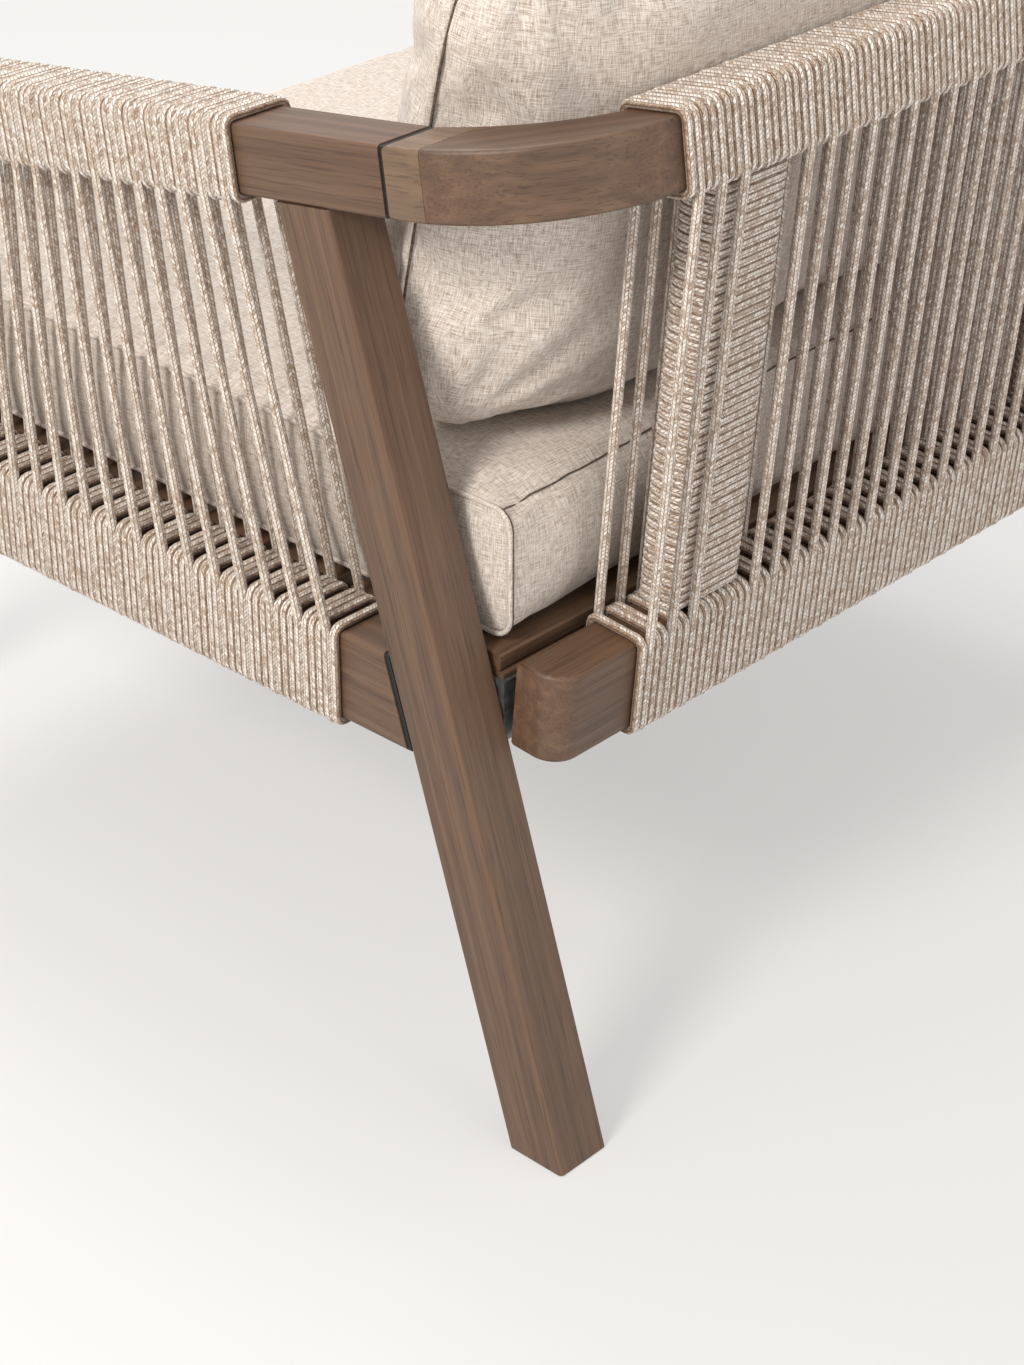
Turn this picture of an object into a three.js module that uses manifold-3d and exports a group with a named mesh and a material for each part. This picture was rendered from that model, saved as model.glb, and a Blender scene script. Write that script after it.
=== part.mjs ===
// Outdoor lounge armchair: a stained hardwood frame whose arms and back are wound with braided rope,
// with a loose seat cushion and a loose back cushion on a slatted seat. Millimetres, +Z up.
// The chair faces -Y and the sitter's left is +X. The origin is on the floor under the middle.
import * as THREE from "three";
import { mergeVertices } from "three/addons/utils/BufferGeometryUtils.js";
import Module from "manifold-3d";

// Overall sizes
const CHAIR_WIDTH = 800;
const CHAIR_DEPTH = 840;
const ARM_HEIGHT = 680;          // top of the arm rail at its rear end
const ARM_SLOPE = 8;             // degrees, the arms and the crest rail fall towards the front

// Timber sections
const LEG = 45;
const ARM = 45;
const CREST_DEPTH = 42;
const SIDE_RAIL_THICKNESS = 42;
const SIDE_RAIL_HEIGHT = 65;
const BACK_RAIL_THICKNESS = 38;
const SEAT_RAIL_THICKNESS = 22;
const APRON_THICKNESS = 36;
const SLAT_WIDTH = 62;
const SLAT_THICKNESS = 12;
const SLAT_COUNT = 9;
const EDGE = 3;                  // radius of the eased timber edges

// Heights and angles
const SEAT_HEIGHT = 340;         // top of the slats and of the lower rails
const SIDE_RAIL_BOTTOM = SEAT_HEIGHT - SIDE_RAIL_HEIGHT;
const REAR_RAKE = 17.3;          // degrees, foot of the rear leg behind its top
const FRONT_RAKE = 6.5;          // degrees, foot of the front leg in front of its top
const BACK_LEAN = 5;             // degrees, lean of the woven back
const SEAM_INSET = 150;          // from the rear foot forward to the joint of arm and crest
const SEAM = 3.5;                // black joint line between arm and crest
const FRONT_OVERHANG = 48;       // arm rail in front of the front leg
const CREST_RADIUS = 118;        // outer radius of the crest's corners
const CREST_REACH = 128;         // seam to the crest's outer face, along the slope
const END_BLOCK = 30;            // glued block at each end of the crest
const BACK_RAIL_INSET = 48.5;    // from the rear foot forward to the lower back rail's outer face
const BACK_RAIL_CORNER = 20;
const LEG_GAP = 4;               // side rail end to leg, filled by a black spacer

// Rope
const ROPE = 5.5;                // thickness of the wound rope
const STRAND = 5.8;              // diameter of a free strand
const TOP_PITCH = 20.8;          // strand spacing on the arm and crest rails
const SIDE_PITCH = 26.4;         // strand spacing on the lower side rails
const ARM_ROPE_LESS = 312;       // chair depth not covered by the arm winding
const ARM_STRANDS = Math.round((CHAIR_DEPTH - ARM_ROPE_LESS) / SIDE_PITCH);
const ARM_ROPE_REAR = 127;       // bare arm rail behind the winding
const SIDE_ROPE_REAR = 192;      // rear foot to the winding on the lower side rail
const BACK_ROPE_START = 118;     // chair's side to the winding of the back
const STRAND_START = 127;        // chair's side to the first strand of the back
const POST_CENTRE = 190;         // chair's side to the middle of a back post
const POST_WIDTH = 60;
const POST_DEPTH = 22;

// Cushions
const SEAT_CUSHION_THICKNESS = 100;
const CUSHION_SIDE_GAP = 56;     // chair's side to the cushions
const BACK_CUSHION_HEIGHT = 400;
const BACK_CUSHION_THICKNESS = 160;
const BACK_CUSHION_LEAN = 12;

// Fits
const FACE_GAP = 0.3;            // pieces that touch
const WRAP_GAP = 0.5;            // rope round timber
const HOLE_GAP = 0.3;            // bolt or dowel in its hole, on the radius
const CUSHION_GAP = 2;

const rad = THREE.MathUtils.degToRad;
const tan = (degrees) => Math.tan(rad(degrees));
const cos = (degrees) => Math.cos(rad(degrees));
const HALF_WIDTH = CHAIR_WIDTH / 2;
const REAR_FOOT = CHAIR_DEPTH / 2;
const SEAM_Y = REAR_FOOT - SEAM_INSET;
const SIDES = [["left", 1], ["right", -1]];

const wasm = await Module();
wasm.setup();

// ---- Solids: three.js geometry into manifold-3d and back ----

function solid(geometry) {
  const bare = geometry.clone();
  bare.deleteAttribute("normal");
  bare.deleteAttribute("uv");
  const merged = mergeVertices(bare, 1e-4);
  return new wasm.Manifold(new wasm.Mesh({
    numProp: 3,
    vertProperties: new Float32Array(merged.attributes.position.array),
    triVerts: new Uint32Array(merged.index.array),
  }));
}

function geometryOf(body) {
  const mesh = body.getMesh();
  const geometry = new THREE.BufferGeometry();
  geometry.setAttribute("position", new THREE.BufferAttribute(mesh.vertProperties, 3));
  geometry.setIndex(new THREE.BufferAttribute(mesh.triVerts, 1));
  geometry.computeVertexNormals();
  return geometry;
}

// A bevelled extrusion with its lids and walls welded together.
function bevelled(shape, height, bevel, curveSegments) {
  return geometryOf(solid(new THREE.ExtrudeGeometry(shape, {
    depth: height - 2 * bevel, bevelEnabled: true, bevelThickness: bevel, bevelSize: bevel,
    bevelOffset: -bevel, bevelSegments: 2, curveSegments,
  }).translate(0, 0, bevel)));
}

function cut(geometry, ...tools) {
  return geometryOf(tools.reduce((body, tool) => body.subtract(solid(tool)), solid(geometry)));
}

function join(...geometries) {
  return geometryOf(geometries.map(solid).reduce((body, next) => body.add(next)));
}

function common(a, b) {
  return geometryOf(solid(a).intersect(solid(b)));
}

function mirrored(geometry) {
  const copy = geometry.index ? geometry.toNonIndexed() : geometry;
  const position = copy.attributes.position;
  const corner = new THREE.Vector3();
  const points = [];
  for (let i = 0; i < position.count; i += 3) {
    for (const k of [0, 2, 1]) {
      corner.fromBufferAttribute(position, i + k);
      points.push(-corner.x, corner.y, corner.z);
    }
  }
  const flipped = new THREE.BufferGeometry();
  flipped.setAttribute("position", new THREE.Float32BufferAttribute(points, 3));
  const merged = mergeVertices(flipped, 1e-4);
  merged.computeVertexNormals();
  return merged;
}

// ---- Basic forms ----

function roundedSection(width, depth, radius, x = 0, y = 0) {
  const shape = new THREE.Shape();
  const [w, d] = [width / 2, depth / 2];
  shape.absarc(x + w - radius, y + d - radius, radius, 0, Math.PI / 2);
  shape.absarc(x - w + radius, y + d - radius, radius, Math.PI / 2, Math.PI);
  shape.absarc(x - w + radius, y - d + radius, radius, Math.PI, 1.5 * Math.PI);
  shape.absarc(x + w - radius, y - d + radius, radius, 1.5 * Math.PI, 2 * Math.PI);
  return shape;
}

// A bar with eased long edges, from z = 0 to its length.
function bar(width, depth, length, radius = EDGE) {
  return new THREE.ExtrudeGeometry(roundedSection(width, depth, radius), {
    depth: length, bevelEnabled: false, curveSegments: 2,
  });
}

function block(xs, ys, zs) {
  const geometry = new THREE.BoxGeometry(xs[1] - xs[0], ys[1] - ys[0], zs[1] - zs[0]);
  return geometry.translate((xs[0] + xs[1]) / 2, (ys[0] + ys[1]) / 2, (zs[0] + zs[1]) / 2);
}

// A bar that lies along X or along Y, given by its extents.
function barAlongX(xs, ys, zs, radius = EDGE) {
  return bar(zs[1] - zs[0], ys[1] - ys[0], xs[1] - xs[0], radius)
    .rotateY(Math.PI / 2)
    .translate(xs[0], (ys[0] + ys[1]) / 2, (zs[0] + zs[1]) / 2);
}

function barAlongY(xs, ys, zs, radius = EDGE) {
  return bar(xs[1] - xs[0], zs[1] - zs[0], ys[1] - ys[0], radius)
    .rotateX(-Math.PI / 2)
    .translate((xs[0] + xs[1]) / 2, ys[0], (zs[0] + zs[1]) / 2);
}

function pinAlongY(radius, x, ys, z) {
  return new THREE.CylinderGeometry(radius, radius, ys[1] - ys[0], 16)
    .translate(x, (ys[0] + ys[1]) / 2, z);
}

// A four-sided strand between two points.
function strand(from, to) {
  const length = from.distanceTo(to);
  const geometry = new THREE.CylinderGeometry(STRAND / 2, STRAND / 2, length, 4);
  const turn = new THREE.Quaternion().setFromUnitVectors(
    new THREE.Vector3(0, 1, 0), to.clone().sub(from).normalize());
  const middle = from.clone().add(to).multiplyScalar(0.5);
  return geometry.applyQuaternion(turn).translate(middle.x, middle.y, middle.z);
}

// ---- Tilted frames of reference ----
// On the arm slope, x is across the chair, y runs rearward from the seam along the rail and z is
// height above the rails' top faces.

function onSlope(geometry) {
  return geometry.rotateX(rad(ARM_SLOPE)).translate(0, SEAM_Y, ARM_HEIGHT);
}

function slopePoint(x, y, z) {
  const turned = new THREE.Vector3(x, y, z).applyAxisAngle(new THREE.Vector3(1, 0, 0), rad(ARM_SLOPE));
  return turned.add(new THREE.Vector3(0, SEAM_Y, ARM_HEIGHT));
}

// A leg's own frame: z runs up the leg's middle from the floor, y points rearward.
const REAR_AXIS_Y = REAR_FOOT - LEG / 2 / cos(REAR_RAKE);
const FRONT_AXIS_Y = -REAR_FOOT + LEG / 2 / cos(FRONT_RAKE);
const LEG_X = HALF_WIDTH - LEG / 2;

function onRearLeg(geometry) {
  return geometry.rotateX(rad(REAR_RAKE)).translate(LEG_X, REAR_AXIS_Y, 0);
}

function onFrontLeg(geometry) {
  return geometry.rotateX(rad(-FRONT_RAKE)).translate(LEG_X, FRONT_AXIS_Y, 0);
}

// The lower back rail's frame: its outer face's middle is the origin, z runs up the lean.
const BACK_RAIL_Z = SEAT_HEIGHT - SIDE_RAIL_HEIGHT / 2;
const BACK_RAIL_Y = REAR_FOOT - BACK_RAIL_INSET;

function onBackRail(geometry) {
  return geometry.rotateX(rad(-BACK_LEAN)).translate(0, BACK_RAIL_Y, BACK_RAIL_Z);
}

function backRailPoint(x, y, z) {
  const turned = new THREE.Vector3(x, y, z).applyAxisAngle(new THREE.Vector3(1, 0, 0), rad(-BACK_LEAN));
  return turned.add(new THREE.Vector3(0, BACK_RAIL_Y, BACK_RAIL_Z));
}

// ---- Finishes ----

const finish = (color, roughness, metalness = 0) => (
  () => new THREE.MeshStandardMaterial({ color, roughness, metalness }));
const timber = finish(0x6b5646, 0.5);
const slatTimber = finish(0x75604e, 0.6);
const rope = finish(0xcfc0a8, 0.9);
const blackPlastic = finish(0x141414, 0.6);
const steel = finish(0x8b8d8f, 0.35, 0.9);
const cloth = finish(0xd2c6b4, 0.95);

const chair = new THREE.Group();

function add(name, geometry, material) {
  const mesh = new THREE.Mesh(geometry, material());
  mesh.name = name;
  chair.add(mesh);
}

// Adds a piece made for the left side, and its mirror image on the right.
function addPair(make, geometry, material) {
  for (const [side, sign] of SIDES) {
    add(make(side), sign > 0 ? geometry : mirrored(geometry), material);
  }
}

// ---- Arms and legs ----

const FAR = 2000;
const GLIDE_RADIUS = 11;
const GLIDE_HEIGHT = 5;
const GLIDE_PROUD = 1;
const DOWEL_RADIUS = 5;
const DOWEL_IN_LEG = 22;
const DOWEL_IN_RAIL = 32;
const BOLT_RADIUS = 4;
const BOLT_IN_ARM = 60;
const BOLT_IN_CREST = 24;
const RAIL_DOWEL_Z = (SIDE_RAIL_BOTTOM + SEAT_HEIGHT) / 2;

const belowFloor = block([-FAR, FAR], [-FAR, FAR], [-FAR, GLIDE_PROUD]);
const aboveArmUnderside = onSlope(block([-FAR, FAR], [-FAR, FAR], [-ARM - FACE_GAP, FAR]));

function legTopHeight(y) {
  return ARM_HEIGHT - ARM / cos(ARM_SLOPE) + (y - SEAM_Y) * tan(ARM_SLOPE);
}

// Height of the rail dowel along a leg's own axis.
const REAR_DOWEL_Z = RAIL_DOWEL_Z / cos(REAR_RAKE);
const FRONT_DOWEL_Z = RAIL_DOWEL_Z / cos(FRONT_RAKE);

// The dowel points from the leg into the side rail: forward on the rear leg, rearward on the front.
function dowelPin(towards, height, radius, spare) {
  const inLeg = LEG / 2 - DOWEL_IN_LEG - spare;
  const inRail = LEG / 2 + LEG_GAP + DOWEL_IN_RAIL + spare;
  const ys = towards < 0 ? [-inRail, -inLeg] : [inLeg, inRail];
  return pinAlongY(radius, 0, ys, height);
}

function glideAt(y, radius, height) {
  return new THREE.CylinderGeometry(radius, radius, height, 20)
    .rotateX(Math.PI / 2)
    .translate(LEG_X, y, height / 2);
}

const FOOT_IN = GLIDE_HEIGHT / 2;
const rearGlideY = REAR_AXIS_Y - FOOT_IN * tan(REAR_RAKE);
const frontGlideY = FRONT_AXIS_Y + FOOT_IN * tan(FRONT_RAKE);
const dowelHoleRadius = DOWEL_RADIUS + HOLE_GAP;

function leg(place, glideY, dowelTowards, dowelHeight) {
  return cut(
    place(bar(LEG, LEG, ARM_HEIGHT + 2 * LEG).translate(0, 0, -LEG)),
    belowFloor,
    aboveArmUnderside,
    glideAt(glideY, GLIDE_RADIUS + HOLE_GAP, GLIDE_HEIGHT + FACE_GAP),
    place(dowelPin(dowelTowards, dowelHeight, dowelHoleRadius, FACE_GAP)),
  );
}

addPair((side) => `rear_leg_${side}`, leg(onRearLeg, rearGlideY, -1, REAR_DOWEL_Z), timber);
addPair((side) => `front_leg_${side}`, leg(onFrontLeg, frontGlideY, 1, FRONT_DOWEL_Z), timber);
addPair((side) => `rear_foot_glide_${side}`, glideAt(rearGlideY, GLIDE_RADIUS, GLIDE_HEIGHT), blackPlastic);
addPair((side) => `front_foot_glide_${side}`, glideAt(frontGlideY, GLIDE_RADIUS, GLIDE_HEIGHT), blackPlastic);

// The arm rail ends square at the seam behind, and in front of the front leg's front face.
const frontLegFaceAtTop = (() => {
  const face = FRONT_AXIS_Y - LEG / 2 / cos(FRONT_RAKE);
  const top = legTopHeight(face);
  return face + top * tan(FRONT_RAKE);
})();
const ARM_LENGTH = (SEAM_Y - frontLegFaceAtTop + FRONT_OVERHANG) / cos(ARM_SLOPE);
const ARM_XS = [HALF_WIDTH - ARM, HALF_WIDTH];
const crestBolt = (radius, spare) => onSlope(
  pinAlongY(radius, LEG_X, [-BOLT_IN_ARM - spare, BOLT_IN_CREST + spare], -ARM / 2));
const crestBoltHole = crestBolt(BOLT_RADIUS + HOLE_GAP, FACE_GAP);

const armRail = cut(
  onSlope(barAlongY(ARM_XS, [-ARM_LENGTH, -SEAM / 2], [-ARM, 0])), crestBoltHole);
addPair((side) => `arm_rail_${side}`, armRail, timber);

// ---- Crest rail: curved corners, end blocks and the long rail between them ----

const cornerInnerStart = HALF_WIDTH - ARM;
const cornerEnd = HALF_WIDTH - BACK_ROPE_START;
const CREST_SPLICE = 22;         // straight part of the corner piece inside the winding
const CREST_MARGIN = 3;          // the corner piece is straight this far outside the winding
const CREST_INNER = CREST_REACH - CREST_DEPTH;
// Control point of the corner's inner curve, in from the chair's side and back from the seam.
const CREST_BEND_IN = 64.35;
const CREST_BEND_BACK = 61.1;
const crestSplice = cornerEnd - CREST_SPLICE;

function crestCornerOutline() {
  const shape = new THREE.Shape();
  const arcStart = CREST_REACH - CREST_RADIUS;
  shape.moveTo(HALF_WIDTH, SEAM / 2);
  shape.lineTo(HALF_WIDTH, arcStart);
  shape.absarc(HALF_WIDTH - CREST_RADIUS, arcStart, CREST_RADIUS, 0, Math.PI / 2);
  shape.lineTo(crestSplice, CREST_REACH);
  shape.lineTo(crestSplice, CREST_INNER);
  shape.lineTo(cornerEnd + CREST_MARGIN, CREST_INNER);
  shape.quadraticCurveTo(HALF_WIDTH - CREST_BEND_IN, CREST_BEND_BACK, cornerInnerStart, SEAM / 2);
  return shape;
}

const crestCornerBlank = bevelled(crestCornerOutline(), ARM, EDGE, 9).translate(0, 0, -ARM);
const beforeGlueLine = block([0, FAR], [-FAR, END_BLOCK - FACE_GAP / 2], [-FAR, FAR]);
const afterGlueLine = block([0, FAR], [END_BLOCK + FACE_GAP / 2, FAR], [-FAR, FAR]);
const endBlock = cut(onSlope(common(crestCornerBlank, beforeGlueLine)), crestBoltHole);
const crestCorner = onSlope(common(crestCornerBlank, afterGlueLine));
addPair((side) => `crest_end_block_${side}`, endBlock, timber);
addPair((side) => `crest_corner_${side}`, crestCorner, timber);

const crestHalfLength = crestSplice - FACE_GAP;
const CREST_YS = [CREST_INNER, CREST_REACH];
add("crest_rail", onSlope(barAlongX([-crestHalfLength, crestHalfLength], CREST_YS, [-ARM, 0])), timber);

// Black spacer in the seam, with the bolt through it.
const SPACER_INSET = 1;
const crestSpacer = cut(onSlope(block(
  [HALF_WIDTH - ARM + SPACER_INSET, HALF_WIDTH - SPACER_INSET],
  [-SEAM / 2 + FACE_GAP, SEAM / 2 - FACE_GAP],
  [-ARM + SPACER_INSET, -SPACER_INSET])), crestBoltHole);
addPair((side) => `crest_spacer_${side}`, crestSpacer, blackPlastic);
addPair((side) => `crest_bolt_${side}`, crestBolt(BOLT_RADIUS, 0), steel);

// ---- Lower side rails, held off the legs by black spacers on dowels ----

const SIDE_XS = [HALF_WIDTH - SIDE_RAIL_THICKNESS, HALF_WIDTH];
const SIDE_ZS = [SIDE_RAIL_BOTTOM, SEAT_HEIGHT];
const railClear = LEG / 2 + LEG_GAP;
const behindRail = onRearLeg(block([-FAR, FAR], [-railClear, FAR], [-FAR, FAR]));
const beforeRail = onFrontLeg(block([-FAR, FAR], [-FAR, railClear], [-FAR, FAR]));
const sideRail = cut(
  barAlongY(SIDE_XS, [-REAR_FOOT, REAR_FOOT], SIDE_ZS),
  behindRail,
  beforeRail,
  onRearLeg(dowelPin(-1, REAR_DOWEL_Z, dowelHoleRadius, FACE_GAP)),
  onFrontLeg(dowelPin(1, FRONT_DOWEL_Z, dowelHoleRadius, FACE_GAP)),
);
addPair((side) => `side_rail_${side}`, sideRail, timber);

// Each spacer follows its leg's rake and is trimmed level with the rail's top and bottom.
const underRail = block([-FAR, FAR], [-FAR, FAR], [-FAR, SIDE_RAIL_BOTTOM + SPACER_INSET]);
const overRail = block([-FAR, FAR], [-FAR, FAR], [SEAT_HEIGHT - SPACER_INSET, FAR]);

function railSpacer(place, towards, height) {
  const ys = [LEG / 2 + FACE_GAP, LEG / 2 + LEG_GAP - FACE_GAP].map((y) => towards * y);
  ys.sort((a, b) => a - b);
  const half = SIDE_RAIL_THICKNESS / 2 - SPACER_INSET;
  const xShift = (LEG - SIDE_RAIL_THICKNESS) / 2;
  return cut(
    place(block([xShift - half, xShift + half], ys, [0, height + SIDE_RAIL_HEIGHT])),
    underRail,
    overRail,
    place(dowelPin(towards, height, dowelHoleRadius, FACE_GAP)));
}

addPair((side) => `rear_rail_spacer_${side}`, railSpacer(onRearLeg, -1, REAR_DOWEL_Z), blackPlastic);
addPair((side) => `front_rail_spacer_${side}`, railSpacer(onFrontLeg, 1, FRONT_DOWEL_Z), blackPlastic);
addPair((side) => `rear_rail_dowel_${side}`,
  onRearLeg(dowelPin(-1, REAR_DOWEL_Z, DOWEL_RADIUS, 0)), slatTimber);
addPair((side) => `front_rail_dowel_${side}`,
  onFrontLeg(dowelPin(1, FRONT_DOWEL_Z, DOWEL_RADIUS, 0)), slatTimber);

// ---- Lower back rail and back posts ----

const BACK_RAIL_CLEAR = 1.5;     // rail's end to the plane of the legs' inner faces
const BACK_RAIL_HALF = HALF_WIDTH - LEG - BACK_RAIL_CLEAR;
const backRailHalfHeight = SIDE_RAIL_HEIGHT / 2;

function backRailOutline() {
  const shape = new THREE.Shape();
  const inner = BACK_RAIL_HALF - BACK_RAIL_CORNER;
  shape.moveTo(-BACK_RAIL_HALF, -BACK_RAIL_THICKNESS);
  shape.lineTo(BACK_RAIL_HALF, -BACK_RAIL_THICKNESS);
  shape.absarc(inner, -BACK_RAIL_CORNER, BACK_RAIL_CORNER, 0, Math.PI / 2);
  shape.absarc(-inner, -BACK_RAIL_CORNER, BACK_RAIL_CORNER, Math.PI / 2, Math.PI);
  return shape;
}

const lowerBackRail = onBackRail(
  bevelled(backRailOutline(), SIDE_RAIL_HEIGHT, EDGE, 6).translate(0, 0, -backRailHalfHeight));
add("lower_back_rail", lowerBackRail, timber);

// A post stands between the lower back rail and the crest, on a line through the middles of both.
const postX = HALF_WIDTH - POST_CENTRE;
const postFoot = backRailPoint(postX, -BACK_RAIL_THICKNESS / 2, backRailHalfHeight);
const postHead = slopePoint(postX, CREST_REACH - CREST_DEPTH / 2, -ARM);
const postLean = Math.atan2(postHead.y - postFoot.y, postHead.z - postFoot.z);
const aboveCrestUnderside = onSlope(block([-FAR, FAR], [0, FAR], [-ARM - FACE_GAP, FAR]));
const belowBackRailTop = onBackRail(block([-FAR, FAR], [-FAR, FAR], [-FAR, backRailHalfHeight + FACE_GAP]));
const postLength = postFoot.distanceTo(postHead);

function postBar(grow, from, to) {
  return bar(POST_WIDTH + 2 * grow, POST_DEPTH + 2 * grow, to - from, EDGE + grow)
    .translate(0, 0, from)
    .rotateX(-postLean)
    .translate(postX, postFoot.y, postFoot.z);
}

const POST_SPARE = 30;
const post = cut(postBar(0, -POST_SPARE, postLength + POST_SPARE), aboveCrestUnderside, belowBackRailTop);
addPair((side) => `back_post_${side}`, post, timber);

// The post's own winding, a tight sleeve of rope from rail to rail.
const SLEEVE_END_GAP = WRAP_GAP + ROPE + FACE_GAP;
const postRope = cut(
  postBar(WRAP_GAP + ROPE, SLEEVE_END_GAP, postLength - SLEEVE_END_GAP),
  postBar(WRAP_GAP, -POST_SPARE, postLength + POST_SPARE),
  onSlope(block([-FAR, FAR], [0, FAR], [-ARM - SLEEVE_END_GAP, FAR])),
  onBackRail(block([-FAR, FAR], [-FAR, FAR], [-FAR, backRailHalfHeight + SLEEVE_END_GAP])),
);
addPair((side) => `back_post_rope_${side}`, postRope, rope);

// ---- Woven panels: a sleeve of windings on each rail and two layers of strands between them ----

const WALL = WRAP_GAP + ROPE / 2;      // timber face to the middle of the rope
const STRAND_TUCK = 1;
const strandTop = -ARM - WRAP_GAP - STRAND_TUCK;   // strands leave the corner of the upper winding
const OUTER_PHASE = 0.5;               // first outer strand, in strand spacings from the winding's end
const INNER_PHASE = 1.1;               // first inner strand, likewise
const CUT_SPARE = 10;

// The arm panel: strands fan out, because the spacing is wider on the lower rail.
const armRopeYs = [-ARM_ROPE_REAR - ARM_STRANDS * TOP_PITCH / cos(ARM_SLOPE), -ARM_ROPE_REAR];
const sideRopeRear = REAR_FOOT - SIDE_ROPE_REAR;
const sideRopeYs = [sideRopeRear - ARM_STRANDS * SIDE_PITCH, sideRopeRear];
const grown = (range, by) => [range[0] - by, range[1] + by];

function sleeve(shapeOf, xs, ys, zs, along) {
  const across = (range, name, by) => (name === along ? range : grown(range, by));
  const outer = WRAP_GAP + ROPE;
  const outside = shapeOf(
    across(xs, "x", outer), across(ys, "y", outer), across(zs, "z", outer), EDGE + outer);
  const longer = (range, name) => (name === along ? grown(range, CUT_SPARE) : grown(range, WRAP_GAP));
  return cut(outside, shapeOf(longer(xs, "x"), longer(ys, "y"), longer(zs, "z"), EDGE + WRAP_GAP));
}

function armPanel() {
  const pieces = [
    onSlope(sleeve(barAlongY, ARM_XS, armRopeYs, [-ARM, 0], "y")),
    sleeve(barAlongY, SIDE_XS, sideRopeYs, SIDE_ZS, "y"),
  ];
  const bottomUp = SEAT_HEIGHT - STRAND;
  for (let i = 0; i < ARM_STRANDS; i += 1) {
    const outerTop = slopePoint(
      HALF_WIDTH + WALL, armRopeYs[1] - (i + OUTER_PHASE) * TOP_PITCH / cos(ARM_SLOPE), strandTop);
    const outerFoot = new THREE.Vector3(
      HALF_WIDTH + WALL, sideRopeRear - (i + OUTER_PHASE) * SIDE_PITCH, bottomUp);
    pieces.push(strand(outerTop, outerFoot));
    if (i === ARM_STRANDS - 1) continue;
    const innerTop = slopePoint(
      HALF_WIDTH - ARM - WALL, armRopeYs[1] - (i + INNER_PHASE) * TOP_PITCH / cos(ARM_SLOPE), strandTop);
    const innerFoot = new THREE.Vector3(
      HALF_WIDTH - SIDE_RAIL_THICKNESS - WALL, sideRopeRear - (i + INNER_PHASE) * SIDE_PITCH, bottomUp);
    pieces.push(strand(innerTop, innerFoot));
  }
  return join(...pieces);
}

addPair((side) => `arm_rope_${side}`, armPanel(), rope);

// The back panel: parallel strands, with the outer ones left out where a post shows.
const backRopeXs = [-cornerEnd, cornerEnd];
const strandRun = HALF_WIDTH - STRAND_START;
const strandCount = Math.round(2 * strandRun / TOP_PITCH) + 1;
const strandPitch = 2 * strandRun / (strandCount - 1);

function backPanel() {
  const backRailYs = [-BACK_RAIL_THICKNESS, 0];
  const pieces = [
    onSlope(sleeve(barAlongX, backRopeXs, CREST_YS, [-ARM, 0], "x")),
    onBackRail(sleeve(barAlongX, backRopeXs, backRailYs, [-backRailHalfHeight, backRailHalfHeight], "x")),
  ];
  const ropeHalf = POST_WIDTH / 2 + WRAP_GAP + ROPE;
  for (let i = 0; i < strandCount; i += 1) {
    const x = -strandRun + i * strandPitch;
    const fromPost = Math.abs(Math.abs(x) - postX);
    const towardsSide = Math.abs(x) > postX + STRAND;
    if (towardsSide || fromPost > ropeHalf) {
      pieces.push(strand(
        slopePoint(x, CREST_REACH + WALL, strandTop),
        backRailPoint(x, WALL, backRailHalfHeight - STRAND)));
    }
    pieces.push(strand(
      slopePoint(x, CREST_INNER - WALL, strandTop),
      backRailPoint(x, -BACK_RAIL_THICKNESS - WALL, backRailHalfHeight - STRAND)));
  }
  const posts = postBar(WRAP_GAP, -POST_SPARE, postLength + POST_SPARE);
  return cut(join(...pieces), posts, mirrored(posts));
}

add("back_rope", backPanel(), rope);

// ---- Seat: rails, slats and steel brackets ----

const SEAT_FRAME_TOP = SEAT_HEIGHT - SLAT_THICKNESS - FACE_GAP;
const SEAT_FRAME_LIFT = 1;             // seat rails' undersides above the side rails'
const SEAT_FRAME_BOTTOM = SIDE_RAIL_BOTTOM + SEAT_FRAME_LIFT;
const BACK_ROPE_ROOM = 5;              // behind the rear seat rail
const SIDE_ROPE_ROOM = 1;              // beside each seat side rail
const SLAT_EDGE = 2;
const SEAT_ZS = [SEAT_FRAME_BOTTOM, SEAT_FRAME_TOP];
const BRACKET_PLATE = 3;
const rearSeatRailY = BACK_RAIL_Y - BACK_RAIL_THICKNESS - ROPE - WRAP_GAP - BACK_ROPE_ROOM;
const REAR_SEAT_YS = [rearSeatRailY - SEAT_RAIL_THICKNESS, rearSeatRailY];
const seatRailHalf = HALF_WIDTH - LEG - BRACKET_PLATE - 2 * FACE_GAP;
add("rear_seat_rail", barAlongX([-seatRailHalf, seatRailHalf], REAR_SEAT_YS, SEAT_ZS), timber);

// Front apron between the front legs, set back a little from their front faces.
const APRON_SETBACK = 5;
const apronHalf = HALF_WIDTH - LEG - FACE_GAP;
const apronFront = -REAR_FOOT + SEAT_HEIGHT * tan(FRONT_RAKE) + APRON_SETBACK;
const APRON_YS = [apronFront, apronFront + APRON_THICKNESS];
add("front_apron", barAlongX([-apronHalf, apronHalf], APRON_YS, SIDE_ZS), timber);

const seatSideX = HALF_WIDTH - SIDE_RAIL_THICKNESS - WRAP_GAP - ROPE - SIDE_ROPE_ROOM;
const SEAT_SIDE_XS = [seatSideX - SEAT_RAIL_THICKNESS, seatSideX];
const SEAT_SIDE_YS = [APRON_YS[1] + FACE_GAP, REAR_SEAT_YS[0] - FACE_GAP];
addPair((side) => `seat_side_rail_${side}`, barAlongY(SEAT_SIDE_XS, SEAT_SIDE_YS, SEAT_ZS), timber);

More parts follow.
